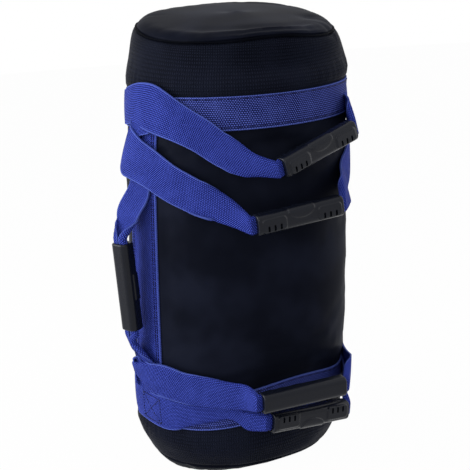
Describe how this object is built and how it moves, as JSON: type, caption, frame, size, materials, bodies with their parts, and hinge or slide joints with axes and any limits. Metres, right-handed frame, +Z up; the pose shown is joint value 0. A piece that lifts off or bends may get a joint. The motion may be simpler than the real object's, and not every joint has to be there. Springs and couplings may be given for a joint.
{
  "type": "sandbag trainer",
  "caption": "Soft filled cylinder bag standing on end, with webbing rings, side strips and moulded carrying handles that swing.",
  "frame": {"origin": "centre of the flat round base that the bag stands on", "axes": "+Z up along the bag, -Y to the front, where the ring handles hang, +X to the right side strip"},
  "size_m": [0.3284, 0.3014, 0.5205],
  "materials": {
    "leathercloth": "coated cloth, fine grain, low sheen",
    "foam": "closed cell foam sheet",
    "sackcloth": "plain woven sack",
    "sand": "dry sand",
    "cord": "twisted cord",
    "webbing": "woven, matte",
    "grip": "moulded, satin"
  },
  "bodies": {
    "bag": {"top_panel": "leathercloth", "upper_collar": "leathercloth", "body_panel": "leathercloth", "lower_collar": "leathercloth", "bottom_panel": "leathercloth", "top_padding": "foam", "padding_sleeve": "foam", "bottom_padding": "foam", "sand_sack": "sackcloth", "sand_fill": "sand", "sack_tie": "cord", "upper_ring_band": "webbing", "lower_ring_band": "webbing", "left_strip": "webbing", "right_strip": "webbing"},
    "upper_front": {"upper_front_strap": "webbing", "upper_front_grip": "grip"},
    "upper_rear": {"upper_rear_strap": "webbing", "upper_rear_grip": "grip"},
    "lower_front": {"lower_front_strap": "webbing", "lower_front_grip": "grip"},
    "lower_rear": {"lower_rear_strap": "webbing", "lower_rear_grip": "grip"},
    "left_side": {"left_side_strap": "webbing", "left_side_grip": "grip"},
    "right_side": {"right_side_strap": "webbing", "right_side_grip": "grip"}
  },
  "joints": [
    {"name": "upper_front_swing", "type": "hinge", "parent": "bag", "child": "upper_front", "pos_m": [0.02058, -0.01386, 0.42], "axis": [-1, 0, 0], "range_deg": [0, 140], "deforming": ["upper_front_strap"]},
    {"name": "upper_rear_swing", "type": "hinge", "parent": "bag", "child": "upper_rear", "pos_m": [0.02058, -0.01386, 0.42], "axis": [-1, 0, 0], "range_deg": [0, 215], "deforming": ["upper_rear_strap"]},
    {"name": "lower_front_swing", "type": "hinge", "parent": "bag", "child": "lower_front", "pos_m": [0.00421, -0.00284, 0.086], "axis": [-1, 0, 0], "range_deg": [-20, 0], "deforming": ["lower_front_strap"]},
    {"name": "lower_rear_swing", "type": "hinge", "parent": "bag", "child": "lower_rear", "pos_m": [0.00421, -0.00284, 0.086], "axis": [-1, 0, 0], "range_deg": [0, 20], "deforming": ["lower_rear_strap"]},
    {"name": "left_side_swing", "type": "hinge", "parent": "bag", "child": "left_side", "pos_m": [-0.11959, -0.00766, 0.232], "axis": [0.0489, -0.0329, 0.9983], "range_deg": [-20, 40], "deforming": ["left_side_strap"]},
    {"name": "right_side_swing", "type": "hinge", "parent": "bag", "child": "right_side", "pos_m": [0.14233, -0.00766, 0.232], "axis": [0.0489, -0.0329, 0.9983], "range_deg": [-40, 20], "deforming": ["right_side_strap"]}
  ]
}
